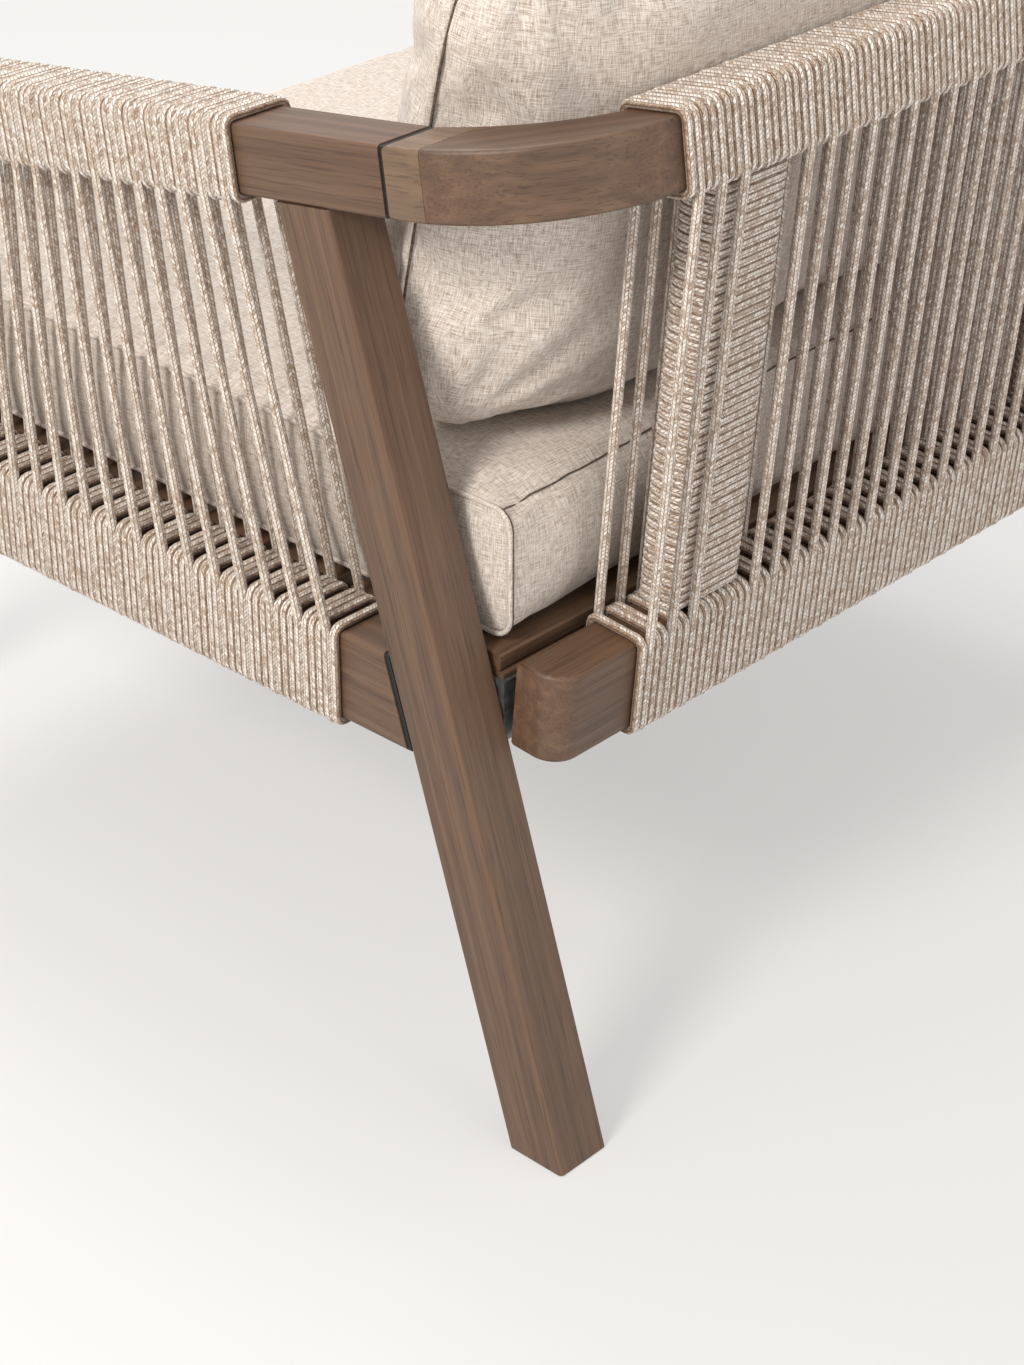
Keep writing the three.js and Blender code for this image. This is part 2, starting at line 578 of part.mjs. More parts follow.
// The slats run from the apron to the rear seat rail, and the last one lies on that rail.
const SLAT_SETBACK = 3;
const slatRun = REAR_SEAT_YS[1] - SLAT_SETBACK - SEAT_SIDE_YS[0] - SLAT_WIDTH;
for (let i = 0; i < SLAT_COUNT; i += 1) {
  const y = SEAT_SIDE_YS[0] + SLAT_WIDTH / 2 + i * slatRun / (SLAT_COUNT - 1);
  const slat = barAlongX([-seatSideX, seatSideX], [y - SLAT_WIDTH / 2, y + SLAT_WIDTH / 2],
    [SEAT_HEIGHT - SLAT_THICKNESS, SEAT_HEIGHT], SLAT_EDGE);
  add(`seat_slat_${i + 1}`, slat, slatTimber);
}

// Angle bracket: one plate on the leg's inner face, the other on the rear seat rail's back face.
const BRACKET_LEG = 36;
const BRACKET_INSET = 4;
const bracketXs = [HALF_WIDTH - LEG - FACE_GAP - BRACKET_PLATE, HALF_WIDTH - LEG - FACE_GAP];
const bracketBack = rearSeatRailY + FACE_GAP + BRACKET_PLATE;
const BRACKET_ZS = [SEAT_FRAME_BOTTOM + BRACKET_INSET, SEAT_FRAME_TOP - BRACKET_INSET];
const rearBracket = join(
  block(bracketXs, [bracketBack - BRACKET_LEG, bracketBack], BRACKET_ZS),
  block([bracketXs[1] - BRACKET_LEG, bracketXs[1]], [bracketBack - BRACKET_PLATE, bracketBack], BRACKET_ZS));
addPair((side) => `seat_bracket_${side}`, rearBracket, steel);

// Black blocks that hold the lower back rail off the rear seat rail.
const STANDOFF_WIDTH = 20;
const STANDOFF_CLEAR = 8;
const STANDOFF_INSET = 10;
const standoffX = cornerEnd + STANDOFF_CLEAR;
const backRailRoom = onBackRail(block(
  [-FAR, FAR], [-BACK_RAIL_THICKNESS - FACE_GAP, FAR], [-FAR, FAR]));
const standoff = cut(
  block([standoffX, standoffX + STANDOFF_WIDTH],
    [rearSeatRailY + FACE_GAP, BACK_RAIL_Y],
    [SEAT_FRAME_BOTTOM + STANDOFF_INSET, SEAT_FRAME_TOP - STANDOFF_INSET]),
  backRailRoom);
addPair((side) => `back_rail_standoff_${side}`, standoff, blackPlastic);

// ---- Cushions, loose on the slats ----

const cushionHalf = HALF_WIDTH - CUSHION_SIDE_GAP;
const seatCushionBottom = SEAT_HEIGHT + FACE_GAP;
const seatCushionTop = seatCushionBottom + SEAT_CUSHION_THICKNESS;
const seatCushionRear = REAR_SEAT_YS[1] - CUSHION_GAP;
const seatCushionFront = apronFront - APRON_SETBACK;
const CUSHION_CORNER = 14;
const seatCushionOutline = roundedSection(
  2 * cushionHalf, seatCushionRear - seatCushionFront, 2 * CUSHION_CORNER);
const seatCushion = bevelled(seatCushionOutline, SEAT_CUSHION_THICKNESS, CUSHION_CORNER, 3);
add("seat_cushion", seatCushion
  .translate(0, (seatCushionRear + seatCushionFront) / 2, seatCushionBottom), cloth);

// The back cushion is a plump pillow that leans on the woven back, thinner towards its sides.
const PILLOW_CORNER = 70;
const PILLOW_EDGE = 55;
// The pillow's back stands this far behind the seam at the crest's top, which clears the curve
// of the crest's corners, and its foot follows from its lean.
const PILLOW_BEHIND_SEAM = 63.45;
const crestOverSeat = ARM_HEIGHT - seatCushionTop;
const pillowFootY = SEAM_Y + PILLOW_BEHIND_SEAM - BACK_CUSHION_THICKNESS / 2
  - crestOverSeat * tan(BACK_CUSHION_LEAN);
const pillowSettle = CUSHION_GAP + BACK_CUSHION_THICKNESS / 2 * Math.sin(rad(BACK_CUSHION_LEAN)) / 2;
const pillowSection = roundedSection(
  BACK_CUSHION_THICKNESS, BACK_CUSHION_HEIGHT, PILLOW_CORNER, 0, BACK_CUSHION_HEIGHT / 2);
const pillow = bevelled(pillowSection, 2 * cushionHalf, PILLOW_EDGE, 3)
  .rotateX(Math.PI / 2)
  .rotateZ(Math.PI / 2)
  .translate(-cushionHalf, 0, 0);
add("back_cushion", pillow
  .rotateX(rad(-BACK_CUSHION_LEAN))
  .translate(0, pillowFootY, seatCushionTop + pillowSettle), cloth);

export default chair;
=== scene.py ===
import math
import bmesh
import bpy
import numpy as np
from mathutils import Matrix, Vector


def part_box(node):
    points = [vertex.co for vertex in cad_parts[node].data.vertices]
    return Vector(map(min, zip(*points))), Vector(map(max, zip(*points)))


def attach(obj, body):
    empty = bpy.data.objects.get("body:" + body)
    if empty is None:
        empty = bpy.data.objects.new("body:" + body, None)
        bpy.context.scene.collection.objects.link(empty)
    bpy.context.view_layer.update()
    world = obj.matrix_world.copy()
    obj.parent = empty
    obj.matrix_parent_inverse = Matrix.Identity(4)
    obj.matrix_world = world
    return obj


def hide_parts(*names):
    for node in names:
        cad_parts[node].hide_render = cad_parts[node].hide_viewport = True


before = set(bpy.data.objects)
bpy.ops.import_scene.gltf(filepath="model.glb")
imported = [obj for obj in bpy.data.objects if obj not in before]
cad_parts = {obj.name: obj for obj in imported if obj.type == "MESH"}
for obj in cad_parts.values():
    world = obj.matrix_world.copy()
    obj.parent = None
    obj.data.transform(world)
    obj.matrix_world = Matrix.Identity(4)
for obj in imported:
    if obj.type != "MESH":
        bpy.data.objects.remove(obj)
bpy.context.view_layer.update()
mm = 0.001

# ---- Stained hardwood frame ----
# Legs, arm rails, crest, lower rails and seat rails are solid acacia with eased edges, sanded and
# brush-stained a greyed brown. The grain runs along each piece, with paler and redder boards.


def linear(hex_colour):
    channels = [int(hex_colour[i:i + 2], 16) / 255 for i in (1, 3, 5)]
    return [c / 12.92 if c <= 0.04045 else ((c + 0.055) / 1.055) ** 2.4 for c in channels] + [1.0]


def add_node(tree, kind, links=None, stops=(), **settings):
    # in_Name sets the input called Name, and stops are the places and colours of a colour ramp
    node = tree.nodes.new(kind)
    for key, value in settings.items():
        if key.startswith("in_"):
            node.inputs[key[3:].replace("_", " ")].default_value = value
        else:
            setattr(node, key, value)
    for socket, source in (links or {}).items():
        tree.links.new(source, node.inputs[socket])
    while stops and len(node.color_ramp.elements) < len(stops):
        node.color_ramp.elements.new(0.5)
    for number, (place, colour) in enumerate(stops):
        node.color_ramp.elements[number].position = place
        node.color_ramp.elements[number].color = linear(colour)
    return node


def new_material(name):
    material = bpy.data.materials.new(name)
    material.use_nodes = True
    tree = material.node_tree
    tree.nodes.clear()
    return material, tree


def finish_material(tree, shader):
    add_node(tree, "ShaderNodeOutputMaterial", {"Surface": shader.outputs[0]})


# Acacia stain over open grain: long soft streaks of brown, patches of greyer and redder wood, short
# dark pores, and a dull sheen that is a little glossier on the pale wood.
def stained_hardwood(name, turn, board, dark="#554336", middle="#6f5846", light="#8a705a"):
    # turn lays the grain along the piece, board moves each piece to its own stretch of grain
    material, tree = new_material(name)
    place = add_node(tree, "ShaderNodeTexCoord").outputs["Object"]
    turned = add_node(tree, "ShaderNodeMapping", {0: place}, in_Rotation=turn)
    shifted = add_node(tree, "ShaderNodeMapping", {0: turned.outputs[0]}, in_Location=board)
    along = shifted.outputs[0]
    figure_stretch = add_node(tree, "ShaderNodeMapping", {0: along}, in_Scale=(2.2, 120.0, 120.0))
    figure = add_node(tree, "ShaderNodeTexNoise", {0: figure_stretch.outputs[0]}, in_Scale=1.0,
                      in_Detail=5.0, in_Roughness=0.55, in_Distortion=0.5)
    tone_stretch = add_node(tree, "ShaderNodeMapping", {0: along}, in_Scale=(3.0, 16.0, 16.0))
    tone = add_node(tree, "ShaderNodeTexNoise", {0: tone_stretch.outputs[0]}, in_Scale=1.0,
                    in_Detail=2.0)
    pore_stretch = add_node(tree, "ShaderNodeMapping", {0: along}, in_Scale=(22.0, 900.0, 900.0))
    pores = add_node(tree, "ShaderNodeTexNoise", {0: pore_stretch.outputs[0]}, in_Scale=1.0,
                     in_Detail=3.0)
    colour = add_node(tree, "ShaderNodeValToRGB", {0: figure.outputs["Fac"]}, stops=[
        (0.16, dark), (0.5, middle), (0.88, light)]).outputs[0]
    redder = add_node(tree, "ShaderNodeValToRGB", {0: tone.outputs["Fac"]}, stops=[
        (0.34, "#6f6a63"), (0.5, "#807668"), (0.68, "#8a6c56")]).outputs[0]
    toned = add_node(tree, "ShaderNodeMix", {6: colour, 7: redder}, data_type="RGBA",
                     blend_type="SOFT_LIGHT")
    toned.inputs[0].default_value = 0.6
    dashes = add_node(tree, "ShaderNodeValToRGB", {0: pores.outputs["Fac"]}, stops=[
        (0.34, "#7f7670"), (0.46, "#ffffff")]).outputs[0]
    poured = add_node(tree, "ShaderNodeMix", {6: toned.outputs[2], 7: dashes},
                      data_type="RGBA", blend_type="MULTIPLY")
    poured.inputs[0].default_value = 0.45
    rough = add_node(tree, "ShaderNodeMapRange", {0: figure.outputs["Fac"]},
                     in_To_Min=0.58, in_To_Max=0.42)
    relief = add_node(tree, "ShaderNodeBump", {"Height": pores.outputs["Fac"]},
                      in_Strength=0.25, in_Distance=0.0003)
    shader = add_node(tree, "ShaderNodeBsdfPrincipled", {
        "Base Color": poured.outputs[2], "Roughness": rough.outputs[0], "Normal": relief.outputs[0]})
    finish_material(tree, shader)
    return material


def ease_edges(node):
    # The eased edges read as one round, and the sawn ends stay crisp
    weld = node.modifiers.new("weld", "WELD")
    weld.merge_threshold = 0.00002
    node.data.shade_smooth()
    ends = node.modifiers.new("ends", "EDGE_SPLIT")
    ends.split_angle = math.radians(50)
    ends.use_edge_sharp = False
    normals = node.modifiers.new("normals", "WEIGHTED_NORMAL")
    normals.weight = 100


ARM_SLOPE = math.radians(8)
REAR_RAKE = math.radians(17.3)
FRONT_RAKE = math.radians(6.5)
BACK_LEAN = math.radians(5)
QUARTER = math.radians(90)
CORNER_TURN = math.radians(40)
# Each turn carries a piece's own length onto X, where the grain runs
grain_turns = {
    "rear_leg": (-REAR_RAKE, QUARTER, 0.0),
    "front_leg": (FRONT_RAKE, QUARTER, 0.0),
    "back_post": (BACK_LEAN, QUARTER, 0.0),
    "arm_rail": (-ARM_SLOPE, 0.0, -QUARTER),
    "crest_end_block": (-ARM_SLOPE, 0.0, -QUARTER),
    "crest_corner_left": (-ARM_SLOPE, 0.0, CORNER_TURN),
    "crest_corner_right": (-ARM_SLOPE, 0.0, -CORNER_TURN),
    "crest_rail": (-ARM_SLOPE, 0.0, 0.0),
    "lower_back_rail": (BACK_LEAN, 0.0, 0.0),
    "side_rail": (0.0, 0.0, -QUARTER),
    "seat_side_rail": (0.0, 0.0, -QUARTER),
    "rear_rail_dowel": (-REAR_RAKE, 0.0, -QUARTER),
    "front_rail_dowel": (FRONT_RAKE, 0.0, -QUARTER),
    "rear_seat_rail": (0.0, 0.0, 0.0),
    "front_apron": (0.0, 0.0, 0.0),
    "seat_slat": (0.0, 0.0, 0.0),
}
end_block_tones = {"dark": "#6a5746", "middle": "#806a55", "light": "#968068"}
for number, (node_name, node) in enumerate(sorted(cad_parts.items())):
    family = next((key for key in grain_turns if node_name.startswith(key)), None)
    if family is None or "rope" in node_name or "spacer" in node_name:
        continue
    tones = end_block_tones if family == "crest_end_block" else {}
    rng = np.random.default_rng(40 + number)
    board = tuple(float(v) for v in rng.uniform(-3, 3, 3))
    node.data.materials.clear()
    node.data.materials.append(
        stained_hardwood("stained_hardwood_" + node_name, grain_turns[family], board, **tones))
    ease_edges(node)

# ---- Black nylon parts and steel fittings ----
# Foot glides, spacers and standoffs are moulded black nylon. Brackets and bolts are zinc-plated steel
# with a dull grain.


# Moulded nylon with a fine spark-eroded grain, near black so that the joints read as dark lines.
def moulded_nylon():
    material, tree = new_material("black_moulded_nylon")
    place = add_node(tree, "ShaderNodeTexCoord").outputs["Object"]
    grain = add_node(tree, "ShaderNodeTexNoise", {0: place}, in_Scale=900.0, in_Detail=2.0)
    colour = add_node(tree, "ShaderNodeValToRGB", {0: grain.outputs["Fac"]}, stops=[
        (0.3, "#0c0c0c"), (0.7, "#181817")]).outputs[0]
    relief = add_node(tree, "ShaderNodeBump", {"Height": grain.outputs["Fac"]},
                      in_Strength=0.2, in_Distance=0.0002)
    shader = add_node(tree, "ShaderNodeBsdfPrincipled",
                      {"Base Color": colour, "Normal": relief.outputs[0]}, in_Roughness=0.55)
    finish_material(tree, shader)
    return material


# Zinc plating on rolled steel: a cold grey with faint cloudy spangle and a broken, dull shine.
def plated_steel():
    material, tree = new_material("zinc_plated_steel")
    place = add_node(tree, "ShaderNodeTexCoord").outputs["Object"]
    spangle = add_node(tree, "ShaderNodeTexNoise", {0: place}, in_Scale=160.0, in_Detail=4.0)
    colour = add_node(tree, "ShaderNodeValToRGB", {0: spangle.outputs["Fac"]}, stops=[
        (0.3, "#6f7375"), (0.7, "#9a9d9e")]).outputs[0]
    rough = add_node(tree, "ShaderNodeMapRange", {0: spangle.outputs["Fac"]},
                     in_To_Min=0.35, in_To_Max=0.55)
    shader = add_node(tree, "ShaderNodeBsdfPrincipled",
                      {"Base Color": colour, "Roughness": rough.outputs[0]}, in_Metallic=0.9)
    finish_material(tree, shader)
    return material


nylon = moulded_nylon()
steel = plated_steel()
for node_name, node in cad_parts.items():
    words = node_name.split("_")
    if {"glide", "spacer", "standoff"} & set(words):
        node.data.materials.clear()
        node.data.materials.append(nylon)
    if {"bolt", "bracket"} & set(words):
        node.data.materials.clear()
        node.data.materials.append(steel)

# ---- Braided rope ----
# A plaited polyester cord, 6.6 mm thick and cream with brown flecks. Its yarns show as rows of small
# chevrons, so the pattern follows each rope's own length and girth.

ROPE = 6.6 * mm
ROPE_WIDE = 6.8 * mm
ROPE_THICK = 5.6 * mm
ROPE_CLEAR = 0.3 * mm
EASED_EDGE = 3 * mm
PLAIT_LENGTH = 2.9   # mm of rope that one stitch of the plait shows
PLAIT_WIDTH = 2.45   # mm round the rope


# Cream polyester yarn with brown flecks, plaited in rows of chevrons with dark gaps between the yarns.
# Painted shade darkens the creases where neighbouring turns lie against each other.
def braided_rope():
    material, tree = new_material("braided_melange_rope")
    mapped = add_node(tree, "ShaderNodeUVMap", uv_map="length_and_girth").outputs[0]
    in_mm = add_node(tree, "ShaderNodeVectorMath", {0: mapped}, operation="SCALE")
    in_mm.inputs["Scale"].default_value = 1000.0
    parts = add_node(tree, "ShaderNodeSeparateXYZ", {0: in_mm.outputs[0]})
    zigzag = add_node(tree, "ShaderNodeMath", {0: parts.outputs[1]}, operation="PINGPONG")
    zigzag.inputs[1].default_value = PLAIT_WIDTH
    slant = add_node(tree, "ShaderNodeMath", {0: zigzag.outputs[0], 2: parts.outputs[0]},
                     operation="MULTIPLY_ADD")
    slant.inputs[1].default_value = 0.9
    plait = add_node(tree, "ShaderNodeCombineXYZ", {0: slant.outputs[0], 1: parts.outputs[1]})
    yarns = add_node(tree, "ShaderNodeTexBrick", {"Vector": plait.outputs[0]}, in_Scale=1.0,
                     in_Mortar_Size=0.42, in_Mortar_Smooth=1.0, in_Brick_Width=PLAIT_LENGTH,
                     in_Row_Height=PLAIT_WIDTH, offset=0.5, in_Bias=0.0)
    yarns.inputs["Color1"].default_value = (0.0, 0.0, 0.0, 1.0)
    yarns.inputs["Color2"].default_value = (1.0, 1.0, 1.0, 1.0)
    yarns.inputs["Mortar"].default_value = (0.5, 0.5, 0.5, 1.0)
    fibre = add_node(tree, "ShaderNodeTexNoise", {0: in_mm.outputs[0]}, in_Scale=0.85, in_Detail=2.0,
                     in_Roughness=0.7)
    mixed = add_node(tree, "ShaderNodeMix", {2: yarns.outputs["Color"], 3: fibre.outputs["Fac"]})
    mixed.inputs[0].default_value = 0.72
    colour = add_node(tree, "ShaderNodeValToRGB", {0: mixed.outputs[0]}, stops=[
        (0.28, "#8a7059"), (0.4, "#b8a28d"), (0.5, "#d6c9bc"), (0.7, "#ece4dc")]).outputs[0]
    gaps = add_node(tree, "ShaderNodeValToRGB", {0: yarns.outputs["Fac"]}, stops=[
        (0.0, "#ffffff"), (1.0, "#806650")]).outputs[0]
    joined = add_node(tree, "ShaderNodeMix", {6: colour, 7: gaps}, data_type="RGBA",
                      blend_type="MULTIPLY")
    joined.inputs[0].default_value = 0.9
    # Painted shade: where turns lie against each other, the crease between them is darkened in the
    # colour
    crease_shade_weight = add_node(tree, "ShaderNodeAttribute", attribute_name="crease_shade_weight")
    painted_crease = add_node(tree, "ShaderNodeValToRGB", {0: crease_shade_weight.outputs["Fac"]}, stops=[
        (0.6, "#ffffff"), (0.86, "#cdb9a7"), (1.0, "#7d6653")]).outputs[0]
    shaded_in_creases = add_node(tree, "ShaderNodeMix", {6: joined.outputs[2], 7: painted_crease},
                       data_type="RGBA", blend_type="MULTIPLY")
    shaded_in_creases.inputs[0].default_value = 1.0
    flat = add_node(tree, "ShaderNodeMath", {1: yarns.outputs["Fac"]}, operation="SUBTRACT")
    flat.inputs[0].default_value = 1.0
    relief = add_node(tree, "ShaderNodeBump", {"Height": flat.outputs[0]}, in_Strength=0.7,
                      in_Distance=0.0006)
    shader = add_node(tree, "ShaderNodeBsdfPrincipled",
                      {"Base Color": shaded_in_creases.outputs[2], "Normal": relief.outputs[0]}, in_Roughness=0.85)
    shader.inputs["Sheen Weight"].default_value = 0.25
    finish_material(tree, shader)
    return material


rope_finish = braided_rope()
SIDES_ROUND = 12


def rope_piece(name, runs, node_names):
    # runs: (points, rail direction, closed, width, thickness); one mesh holds them all
    angles = np.arange(SIDES_ROUND) * 2 * math.pi / SIDES_ROUND
    verts, faces, uvs, crease_shade_weight, caps = [], [], [], [], []
    base, travelled = 0, 0.0
    for points, axis, closed, wide, thick in runs:
        points = np.asarray(points, float)
        count = len(points)
        if closed:
            tangent = np.roll(points, -1, 0) - np.roll(points, 1, 0)
        else:
            tangent = np.gradient(points, axis=0)
        tangent /= np.linalg.norm(tangent, axis=1)[:, None]
        side = np.asarray(axis, float)[None] - tangent * (tangent @ np.asarray(axis, float))[:, None]
        side /= np.linalg.norm(side, axis=1)[:, None]
        out = np.cross(tangent, side)
        ring = (points[:, None] + side[:, None] * (np.cos(angles) * wide / 2)[None, :, None]
                + out[:, None] * (np.sin(angles) * thick / 2)[None, :, None])
        verts.append(ring.reshape(-1, 3))
        # painted shade: each point's weight for darkening the colour in the crease where neighbouring
        # turns touch, highest on the flanks
        crease_shade_weight.append(np.tile(np.abs(np.cos(angles)) * (1.0 if wide > thick else 0.62), count))
        steps = np.linalg.norm(np.roll(points, -1, 0) - points, axis=1)
        reach = travelled + np.concatenate([[0], np.cumsum(steps)])
        travelled = float(reach[-1]) if closed else float(reach[-2])
        spans = count if closed else count - 1
        i = np.repeat(np.arange(spans), SIDES_ROUND)
        j = np.tile(np.arange(SIDES_ROUND), spans)
        i2 = (i + 1) % count
        j2 = (j + 1) % SIDES_ROUND
        faces.append(base + np.stack([i * SIDES_ROUND + j, i2 * SIDES_ROUND + j,
                                      i2 * SIDES_ROUND + j2, i * SIDES_ROUND + j2], 1))
        girth = math.pi * (wide + thick) / 2 / SIDES_ROUND
        u1, u2 = reach[i], reach[i + 1]
        v1, v2 = j * girth, (j + 1) * girth
        uvs.append(np.stack([u1, v1, u2, v1, u2, v2, u1, v2], 1).reshape(-1, 2))
        if not closed:
            first = np.arange(SIDES_ROUND)
            caps.append((base + first[::-1]).tolist())
            caps.append((base + (count - 1) * SIDES_ROUND + first).tolist())
        base += count * SIDES_ROUND
    mesh = bpy.data.meshes.new(name)
    mesh.from_pydata(np.concatenate(verts), [], np.concatenate(faces).tolist() + caps)
    layer = mesh.uv_layers.new(name="length_and_girth")
    cap_uvs = np.zeros((len(caps) * SIDES_ROUND, 2))
    layer.data.foreach_set("uv", np.concatenate(uvs + [cap_uvs]).astype(np.float32).ravel())
    # stores the painted-shade weight for the creases between turns
    painted_crease = mesh.attributes.new("crease_shade_weight", "FLOAT", "POINT")
    painted_crease.data.foreach_set("value", np.concatenate(crease_shade_weight).astype(np.float32))
    mesh.shade_smooth()
    mesh.materials.append(rope_finish)
    piece = bpy.data.objects.new(name, mesh)
    bpy.context.scene.collection.objects.link(piece)
    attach(piece, "frame")
    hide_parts(*node_names)
    return piece


class Rail:
    """A timber that rope is wound on: its middle line, its two cross directions and its half sizes."""

    def __init__(self, middle, along, out, up, half_out, half_up):
        self.middle, self.along, self.out, self.up = middle, along, out, up
        lift = ROPE_THICK / 2 + ROPE_CLEAR
        self.half_out = half_out + lift
        self.half_up = half_up + lift
        self.edge = EASED_EDGE + lift
        self.reach = self.edge * 0.6

    def point(self, place, out, up):
        return np.array(self.middle + self.along * place + self.out * out + self.up * up)

    def corner(self, place, sign_out, sign_up, turn):
        # an arc round one edge of the timber; turn is 1 from the side face to the top or the bottom,
        # and -1 the other way
        centre = (sign_out * (self.half_out - self.edge), sign_up * (self.half_up - self.edge))
        arc = np.linspace(0, math.pi / 2, 4)[::turn]
        return [self.point(place, centre[0] + sign_out * self.edge * math.cos(a),
                           centre[1] + sign_up * self.edge * math.sin(a)) for a in arc]

    def wrap(self, place):
        # one full turn of rope
        turn = self.corner(place, 1, 1, 1) + self.corner(place, -1, 1, -1)
        turn += self.corner(place, -1, -1, 1) + self.corner(place, 1, -1, -1)
        return (turn, self.along, True, ROPE_WIDE, ROPE_THICK)

    def over(self, place):
        # up the outer face, over the top and down the inner face
        start = [self.point(place, self.half_out, self.reach - self.half_up)]
        end = [self.point(place, -self.half_out, self.reach - self.half_up)]
        return start + self.corner(place, 1, 1, 1) + self.corner(place, -1, 1, -1) + end

    def under(self, place):
        # down the inner face, under the bottom and up the outer face
        start = [self.point(place, -self.half_out, self.half_up - self.reach)]
        end = [self.point(place, self.half_out, self.half_up - self.reach)]
        return start + self.corner(place, -1, -1, 1) + self.corner(place, 1, -1, -1) + end

    # The hidden ends of a strand, each of which begins or stops under the rail

    def out_from_under(self, start_place, place):
        return [self.point(start_place, 0, -self.half_up)] + self.corner(place, 1, -1, -1)

    def in_to_under(self, place):
        down = [self.point(place, -self.half_out, self.half_up - self.reach)]
        return down + self.corner(place, -1, -1, 1) + [self.point(place, 0, -self.half_up)]

    def across_under(self, place, end_place):
        end = self.point(end_place, self.half_out * 0.6, -self.half_up)
        return self.corner(place, -1, -1, 1) + [end]


def free_run(start, end):
    return [start + (end - start) * t for t in np.linspace(0, 1, 8)[1:-1]]


def strand_loop(top, bottom, place):
    # one strand: up outside, over the upper rail, down inside and under the lower rail
    over = top.over(place)
    under = bottom.under(place)
    path = over + free_run(over[-1], under[0]) + under + free_run(under[-1], over[0])
    return (path, top.along, True, ROPE, ROPE)


# ---- Rope panels of the arms ----
# Each arm's rope is wound round the arm rail and the lower side rail. Between every strand there are
# two turns above and three below, so the strands fan out downwards.

ARM_STRANDS = 20
TURNS_ABOVE = 2
TURNS_BELOW = 3
arm_low, arm_high = (np.array(v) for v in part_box("arm_rail_left"))
side_low, side_high = (np.array(v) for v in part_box("side_rail_left"))
arm_rope_low, arm_rope_high = (np.array(v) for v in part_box("arm_rope_left"))
TIMBER = 45 * mm
arm_end = np.array([0, arm_high[1] - TIMBER * math.sin(ARM_SLOPE), arm_high[2]])
slope_along = np.array([0, -math.cos(ARM_SLOPE), -math.sin(ARM_SLOPE)])
slope_up = np.array([0, -math.sin(ARM_SLOPE), math.cos(ARM_SLOPE)])
across = np.array([1.0, 0, 0])
ARM_ROPE_REAR = 126 * mm
top_pitch = 20.8 * mm / math.cos(ARM_SLOPE)
side_run = arm_rope_high[1] - arm_rope_low[1]
side_pitch = side_run / ARM_STRANDS
rng = np.random.default_rng(7)
HAND_WOUND = 0.12 * mm   # how unevenly the turns lie


def arm_runs():
    middle_x = (arm_low[0] + arm_high[0]) / 2
    upper = Rail(arm_end + across * middle_x - slope_up * TIMBER / 2 + slope_along * ARM_ROPE_REAR,
                 slope_along, across, slope_up, TIMBER / 2, TIMBER / 2)
    side_middle = (side_low + side_high) / 2
    side_middle[1] = arm_rope_high[1]
    lower = Rail(side_middle, np.array([0, -1.0, 0]), across, np.array([0, 0, 1.0]),
                 (side_high[0] - side_low[0]) / 2, (side_high[2] - side_low[2]) / 2)
    runs = []
    step_up = top_pitch / (TURNS_ABOVE + 1)
    step_down = side_pitch / (TURNS_BELOW + 1)
    runs.append(upper.wrap(step_up / 2))
    for i in range(ARM_STRANDS):
        place = (i + 0.5) * top_pitch
        low_place = (i + 0.5) * side_pitch
        shift = rng.normal(0, HAND_WOUND, 6)
        # the outer strand ends in the first turn of its group
        root = lower.out_from_under(low_place, low_place)
        root.append(lower.point(low_place, lower.half_out, lower.half_up - lower.reach))
        over = upper.over(place)
        tail = upper.across_under(place, place + 0.6 * step_up)
        path = root + free_run(root[-1], over[0]) + over + tail
        runs.append((path, slope_along, False, ROPE, ROPE))
        runs.append(upper.wrap(place + step_up + shift[0]))
        if i < ARM_STRANDS - 1:
            # the group's last turn leaves the rail as the inner strand
            last = place + 2 * step_up + shift[1]
            inner_low = (i + 0.5 + 2 / 3) * side_pitch
            start = upper.out_from_under(last - 0.4 * step_up, last)
            over = start + upper.over(last)[1:]
            foot = lower.in_to_under(inner_low)
            path = over + free_run(over[-1], foot[0]) + foot
            runs.append((path, slope_along, False, ROPE, ROPE))
        for k in range(TURNS_BELOW):
            turn = low_place + (k + 1) * step_down
            if turn > ARM_STRANDS * side_pitch:
                turn -= ARM_STRANDS * side_pitch
            runs.append(lower.wrap(turn + shift[2 + k]))
    return runs


left_runs = arm_runs()
mirror = np.array([-1.0, 1, 1])
right_runs = [(np.asarray(points)[::-1] * mirror, axis, closed, wide, thick)
              for points, axis, closed, wide, thick in left_runs]
rope_piece("arm_rope_weave_left", left_runs, ["arm_rope_left"])
rope_piece("arm_rope_weave_right", right_runs, ["arm_rope_right"])

# ---- Rope panel of the back ----
# The back's rope is wound on the crest rail and the lower back rail with two turns between strands.
# Over the inboard part of each post the outer strands are left out, and the inner ones pass behind it.

crest_low, crest_high = (np.array(v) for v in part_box("crest_rail"))
back_low, back_high = (np.array(v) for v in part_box("lower_back_rail"))
weave_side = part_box("back_rope")[1][0]
post_low, post_high = (np.array(v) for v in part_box("back_post_left"))
CREST_DEPTH = 42 * mm
BACK_RAIL_THICKNESS = 38 * mm
BACK_RAIL_HEIGHT = 65 * mm
rearward = -slope_along
leftward = np.array([-1.0, 0, 0])
back_up = np.array([0, math.sin(BACK_LEAN), math.cos(BACK_LEAN)])
back_out = np.array([0, math.cos(BACK_LEAN), -math.sin(BACK_LEAN)])
crest_middle = (crest_low + crest_high) / 2
back_middle = (back_low + back_high) / 2
back_middle[0] = crest_middle[0] = 0.0
crest_rail = Rail(crest_middle, leftward, rearward, slope_up, CREST_DEPTH / 2, TIMBER / 2)
back_rail = Rail(back_middle, leftward, back_out, back_up, BACK_RAIL_THICKNESS / 2,
                 BACK_RAIL_HEIGHT / 2)
STRAND_START = 273 * mm
strand_count = round(2 * STRAND_START / (20.8 * mm)) + 1
back_pitch = 2 * STRAND_START / (strand_count - 1)
post_x = (post_low[0] + post_high[0]) / 2
POST_ROPE_HALF = 36 * mm
STRAND_DIAMETER = 5.8 * mm
TURNS_BETWEEN = 2


